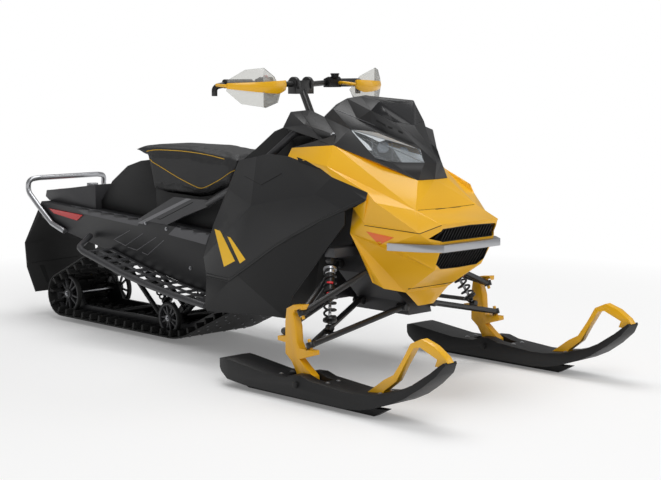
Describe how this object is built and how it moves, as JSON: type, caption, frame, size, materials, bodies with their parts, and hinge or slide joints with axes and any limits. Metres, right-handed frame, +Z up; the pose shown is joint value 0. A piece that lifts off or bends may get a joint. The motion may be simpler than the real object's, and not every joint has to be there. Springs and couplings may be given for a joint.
{
  "type": "snowmobile",
  "caption": "Trail snowmobile with a faceted nose, one rubber track, two steered skis, long seat, running boards and rear grab loop.",
  "frame": {"origin": "middle of the box round the sled, on the floor", "axes": "+Z up, +Y to the sled's rear, +X to the rider's left"},
  "size_m": [1.158, 2.912, 1.152],
  "materials": {
    "yellow_plastic": "gloss",
    "dark_plastic": "satin",
    "black_plastic": "matte",
    "dark_metal": "satin",
    "black_metal": "satin",
    "yellow_metal": "satin",
    "grey_metal": "satin",
    "silver_metal": "brushed",
    "steel": "brushed",
    "rubber": "matte",
    "vinyl": "satin",
    "clear_lens": "clear",
    "smoked_plastic": "smoked",
    "clear_plastic": "clear",
    "red_lens": "gloss",
    "engine_metal": "cast"
  },
  "bodies": {
    "chassis": {"track": "rubber", "rear_idlers": "black_plastic", "forward_idlers": "black_plastic", "upper_idlers": "black_plastic", "drive_axle": "dark_metal", "slide_rails": "dark_metal", "suspension_arms": "black_metal", "rear_shocks": "black_metal", "tunnel": "dark_metal", "rear_deck": "grey_metal", "snow_flap": "rubber", "rear_bumper": "silver_metal", "running_board_left": "grey_metal", "running_board_right": "grey_metal", "seat_cushion": "vinyl", "rear_cover": "black_plastic", "seat_base": "black_plastic", "fuel_tank": "black_plastic", "frame_struts": "grey_metal", "tail_lamps": "red_lens", "engine": "engine_metal", "nose_cowl": "yellow_plastic", "nose_lower": "yellow_plastic", "front_grilles": "black_plastic", "hood": "dark_plastic", "windshield": "smoked_plastic", "headlamp_lenses": "clear_lens", "console": "dark_plastic", "side_panel_left": "dark_plastic", "side_panel_right": "dark_plastic", "footwell_left": "black_plastic", "footwell_right": "black_plastic", "front_bumper": "silver_metal", "front_module": "grey_metal", "lower_arm_left": "black_metal", "lower_arm_right": "black_metal", "upper_arm_left": "black_metal", "upper_arm_right": "black_metal", "front_shock_left": "black_metal", "front_shock_right": "black_metal", "anchor_ring": "silver_metal"},
    "handlebar": {"handlebar": "black_metal", "grips": "rubber", "wind_deflectors": "clear_plastic", "hand_guards": "yellow_plastic", "bar_controls": "black_plastic"},
    "spindle_left": {"spindle_left": "yellow_metal"},
    "ski_left": {"ski_left": "black_plastic", "ski_loop_left": "yellow_plastic"},
    "tie_rod_left": {"tie_rod_left": "grey_metal"},
    "spindle_right": {"spindle_right": "yellow_metal"},
    "ski_right": {"ski_right": "black_plastic", "ski_loop_right": "yellow_plastic"},
    "tie_rod_right": {"tie_rod_right": "grey_metal"}
  },
  "joints": [
    {"name": "handlebar_turn", "type": "hinge", "parent": "chassis", "child": "handlebar", "pos_m": [0, -0.24, 1.066], "axis": [0, 0.4695, 0.8829], "range_deg": [-35, 35]},
    {"name": "steer_left", "type": "hinge", "parent": "chassis", "child": "spindle_left", "pos_m": [0.505, -0.812, 0.196], "axis": [0, 0.3624, 0.932], "range_deg": [-30, 30]},
    {"name": "ski_pivot_left", "type": "hinge", "parent": "spindle_left", "child": "ski_left", "pos_m": [0.505, -0.808, 0.066], "axis": [1, 0, 0], "range_deg": [-10, 10]},
    {"name": "tie_rod_end_left", "type": "hinge", "parent": "spindle_left", "child": "tie_rod_left", "pos_m": [0.505, -0.68, 0.22926], "axis": [0, 0.3624, 0.932], "range_deg": [-30, 30]},
    {"name": "steer_right", "type": "hinge", "parent": "chassis", "child": "spindle_right", "pos_m": [-0.505, -0.812, 0.196], "axis": [0, 0.3624, 0.932], "range_deg": [-30, 30]},
    {"name": "ski_pivot_right", "type": "hinge", "parent": "spindle_right", "child": "ski_right", "pos_m": [-0.505, -0.808, 0.066], "axis": [1, 0, 0], "range_deg": [-10, 10]},
    {"name": "tie_rod_end_right", "type": "hinge", "parent": "spindle_right", "child": "tie_rod_right", "pos_m": [-0.505, -0.68, 0.22926], "axis": [0, 0.3624, 0.932], "range_deg": [-30, 30]}
  ],
  "couplings": [
    {"joint": "steer_left", "follows": "handlebar_turn", "ratio": 0.857},
    {"joint": "tie_rod_end_left", "follows": "handlebar_turn", "ratio": -0.857},
    {"joint": "steer_right", "follows": "handlebar_turn", "ratio": 0.857},
    {"joint": "tie_rod_end_right", "follows": "handlebar_turn", "ratio": -0.857}
  ]
}
